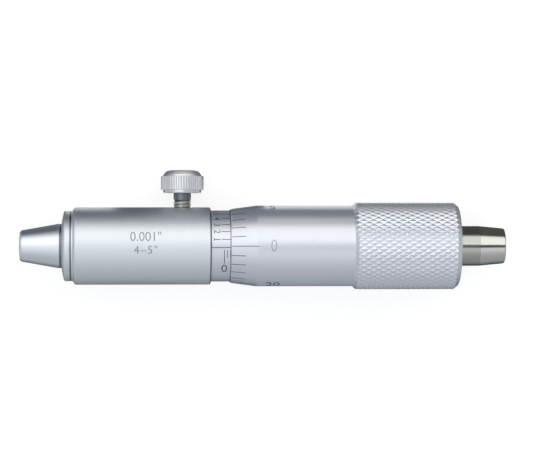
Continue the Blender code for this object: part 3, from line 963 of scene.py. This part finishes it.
world = bpy.data.worlds.new("studio")
bpy.context.scene.world = world
world.use_nodes = True
tree = world.node_tree
sky = tree.nodes["Background"]
direction = node(tree, "TexCoord").outputs["Generated"]
rise = node(tree, "VectorMath", {0: direction, 1: lock_axis}, operation="DOT_PRODUCT").outputs["Value"]
front = node(tree, "VectorMath", {0: direction, 1: face_axis}, operation="DOT_PRODUCT").outputs["Value"]
turn = node(tree, "Math", {0: rise, 1: front}, operation="ARCTAN2").outputs[0]
share = node(tree, "MapRange", {"Value": turn, "From Min": -math.pi, "From Max": math.pi}).outputs["Result"]
ramp = node(tree, "ValToRGB", {"Fac": share})
while len(ramp.color_ramp.elements) < len(wall_levels):
    ramp.color_ramp.elements.new(0.5)
for element, (angle, level) in zip(ramp.color_ramp.elements, wall_levels.items()):
    element.position = (angle + 180) / 360
    element.color = (*[level * part for part in wall_tint], 1)
side = node(tree, "SeparateXYZ", {"Vector": direction}).outputs["X"]
off_gap = node(tree, "Math", {0: turn, 1: gap_middle}, operation="SUBTRACT").outputs[0]
off_gap = node(tree, "Math", {0: off_gap}, operation="ABSOLUTE").outputs[0]
gap_height = node(tree, "MapRange", {"Value": off_gap, "From Min": gap_reach[0], "From Max": gap_reach[1],
                                     "To Min": 1, "To Max": 0}).outputs["Result"]
gap_side = node(tree, "MapRange", {"Value": side, "From Min": gap_side_reach[0],
                                   "From Max": gap_side_reach[1]}).outputs["Result"]
over_lamp = node(tree, "MapRange", {"Value": turn, "From Min": lamp_top_reach[0],
                                    "From Max": lamp_top_reach[1]}).outputs["Result"]
dark_height = node(tree, "Math", {0: gap_height, 1: over_lamp}, operation="MAXIMUM").outputs[0]
gap = node(tree, "Math", {0: dark_height, 1: gap_side}, operation="MULTIPLY").outputs[0]
walls = node(tree, "Mix", {"Factor": gap, "A": ramp.outputs["Color"], "B": gap_level},
             data_type="RGBA").outputs["Result"]
squared = node(tree, "Math", {0: side, 1: side}, operation="MULTIPLY").outputs[0]
endness = node(tree, "MapRange", {"Value": squared, "From Min": end_reach[0],
                                  "From Max": end_reach[1]}).outputs["Result"]
walls = node(tree, "Mix", {"Factor": endness, "A": walls, "B": end_level},
             data_type="RGBA").outputs["Result"]
rays = node(tree, "LightPath")
seen = node(tree, "Mix", {"Factor": rays.outputs["Is Camera Ray"], "A": walls, "B": (1, 1, 1, 1)},
            data_type="RGBA")
tree.links.new(seen.outputs["Result"], sky.inputs["Color"])

lamp_angle = math.radians(34.6)
lamp_level = 1.2
lamp_distance = 0.6
lamp_length = 1.6
lamp_width = 0.60
lamp_middle = Vector((0.05, 0, 0))
lamp = bpy.data.objects.new("soft_box", bpy.data.lights.new("soft_box", "AREA"))
bpy.context.collection.objects.link(lamp)
lamp_direction = face_axis * math.cos(lamp_angle) + lock_axis * math.sin(lamp_angle)
lamp.location = lamp_middle + lamp_direction * lamp_distance
lamp.rotation_mode = "QUATERNION"
lamp.rotation_quaternion = lamp_direction.to_track_quat("Z", "Y")
lamp.data.shape = "RECTANGLE"
lamp.data.size = lamp_length
lamp.data.size_y = lamp_width
lamp.data.energy = lamp_level * math.pi * lamp.data.size * lamp.data.size_y

# Each card's reach along X and across it, and its tint. A later one lies on the earlier ones.
card_lift = 0.1 * mm
card_step = 0.02 * mm
# The cards under the cone and the knob and the two shaded strips are painted shadow: they put the
# micrometer's shade on the table into what the plating reflects.
cards = [("dark_card", (-0.03, 0.77), (0.0138, 0.6), "#1C2B48"),
         ("pale_card_beyond_the_thimble", (0.044, 0.085), (0.056, 0.6), "#F2F4F8"),
         ("grey_card_by_the_contact", (0.0935, 0.2), (0.0035, 0.1), "#60605C"),
         ("grey_card_by_the_cone", (-0.03, 0.0085), (0.006, 0.0138), "#6C7682"),
         ("painted_shadow_card_under_the_cone", (-0.005, 0.0087), (-0.010, 0.006), "#2A323C"),
         ("painted_shadow_card_under_the_knob", (0.020, 0.052), (0.0076, 0.0138), "#48525E"),
         ("grey_card_behind_the_knob", (0.0285, 0.0405), (0.0138, 0.0200), "#5C626A"),
         ("pale_card_beyond_the_knob", (0.0305, 0.0385), (0.0200, 0.0450), "#C8CCD4"),
         ("shaded_strip", (-0.03, 0.77), (-0.030, -0.010), "#4E5A63"),
         ("grey_card", (-0.03, 0.77), (-0.6, -0.030), "#949CA5"),
         ("shaded_strip_by_the_thimble", (0.050, 0.077), (-0.030, -0.010), "#7C8997"),
         ("grey_card_by_the_thimble", (0.050, 0.082), (-0.6, -0.030), "#A9B1BC")]
for layer, (name, (left_x, right_x), (near_y, far_y), tint) in enumerate(cards):
    middle = ((left_x + right_x) / 2, (near_y + far_y) / 2, table_z + card_lift + layer * card_step)
    bpy.ops.mesh.primitive_plane_add(size=1, location=middle)
    card = bpy.context.object
    card.name = name
    card.scale = (right_x - left_x, far_y - near_y, 1)
    bpy.ops.object.transform_apply(location=False)
    material = bpy.data.materials.new(name)
    material.use_nodes = True
    shader = material.node_tree.nodes["Principled BSDF"]
    shader.inputs["Base Color"].default_value = (0, 0, 0, 1)
    shader.inputs["Specular IOR Level"].default_value = 0
    shader.inputs["Emission Color"].default_value = colour(tint)
    shader.inputs["Emission Strength"].default_value = 1
    card.data.materials.append(material)
    card.visible_camera = card.visible_diffuse = card.visible_shadow = False

bpy.context.scene.view_settings.view_transform = "Standard"
